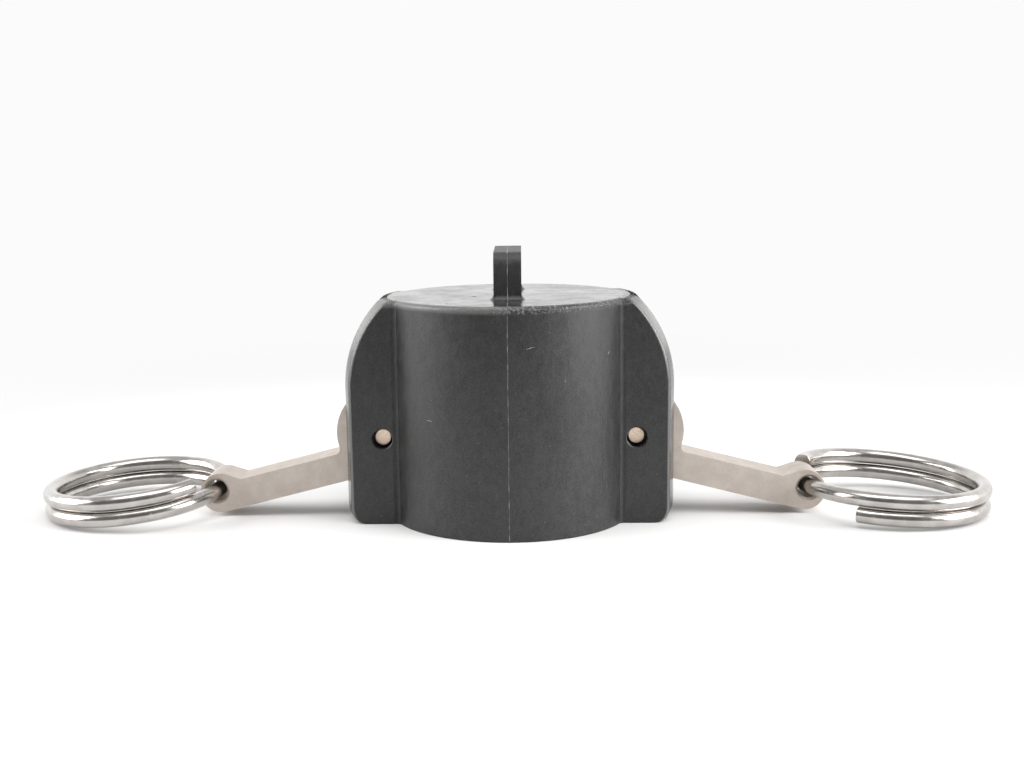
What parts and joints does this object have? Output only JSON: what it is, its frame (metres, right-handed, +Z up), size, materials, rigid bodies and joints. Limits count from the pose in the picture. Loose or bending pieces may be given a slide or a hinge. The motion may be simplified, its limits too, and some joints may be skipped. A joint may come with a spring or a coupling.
{
  "type": "camlock dust cap",
  "caption": "Moulded cup-shaped coupling cap with a cam arm hinged in each side ear, a split ring on each arm, an inner face gasket and a lanyard lug on top.",
  "frame": {"origin": "centre of the mouth rim, on the plane that the cap stands on", "axes": "+Z up through the closed top and the lug, +X along the right arm, which lies open, and -Y towards the camera of the picture"},
  "size_m": [0.1911, 0.048, 0.053],
  "materials": {
    "filled_polypropylene": "dark grey glass-filled polypropylene, as moulded, with a mottled sheen",
    "gasket_rubber": "black nitrile rubber, matt",
    "cast_stainless": "investment-cast stainless steel, blasted to a fine matt grain",
    "polished_stainless": "bright drawn stainless steel wire",
    "pin_steel": "turned stainless steel, satin ends"
  },
  "bodies": {
    "cap": {"cap_body": "filled_polypropylene", "gasket": "gasket_rubber", "pin_left": "pin_steel", "pin_right": "pin_steel"},
    "left_arm": {"arm_left": "cast_stainless"},
    "right_arm": {"arm_right": "cast_stainless"},
    "left_ring": {"ring_left": "polished_stainless"},
    "right_ring": {"ring_right": "polished_stainless"}
  },
  "joints": [
    {"name": "left_arm_pivot", "type": "hinge", "parent": "cap", "child": "left_arm", "pos_m": [-0.0247, 0, 0.017], "axis": [0, 1, 0], "range_deg": [-12, 104.2]},
    {"name": "right_arm_pivot", "type": "hinge", "parent": "cap", "child": "right_arm", "pos_m": [0.0247, 0, 0.017], "axis": [0, -1, 0], "range_deg": [-12, 104.2]},
    {"name": "left_ring_swing", "type": "hinge", "parent": "left_arm", "child": "left_ring", "pos_m": [-0.05918, 0, 0.00528], "axis": [0, 1, 0], "range_deg": [-150, 30]},
    {"name": "right_ring_swing", "type": "hinge", "parent": "right_arm", "child": "right_ring", "pos_m": [0.05918, 0, 0.00528], "axis": [0, -1, 0], "range_deg": [-150, 30]}
  ]
}
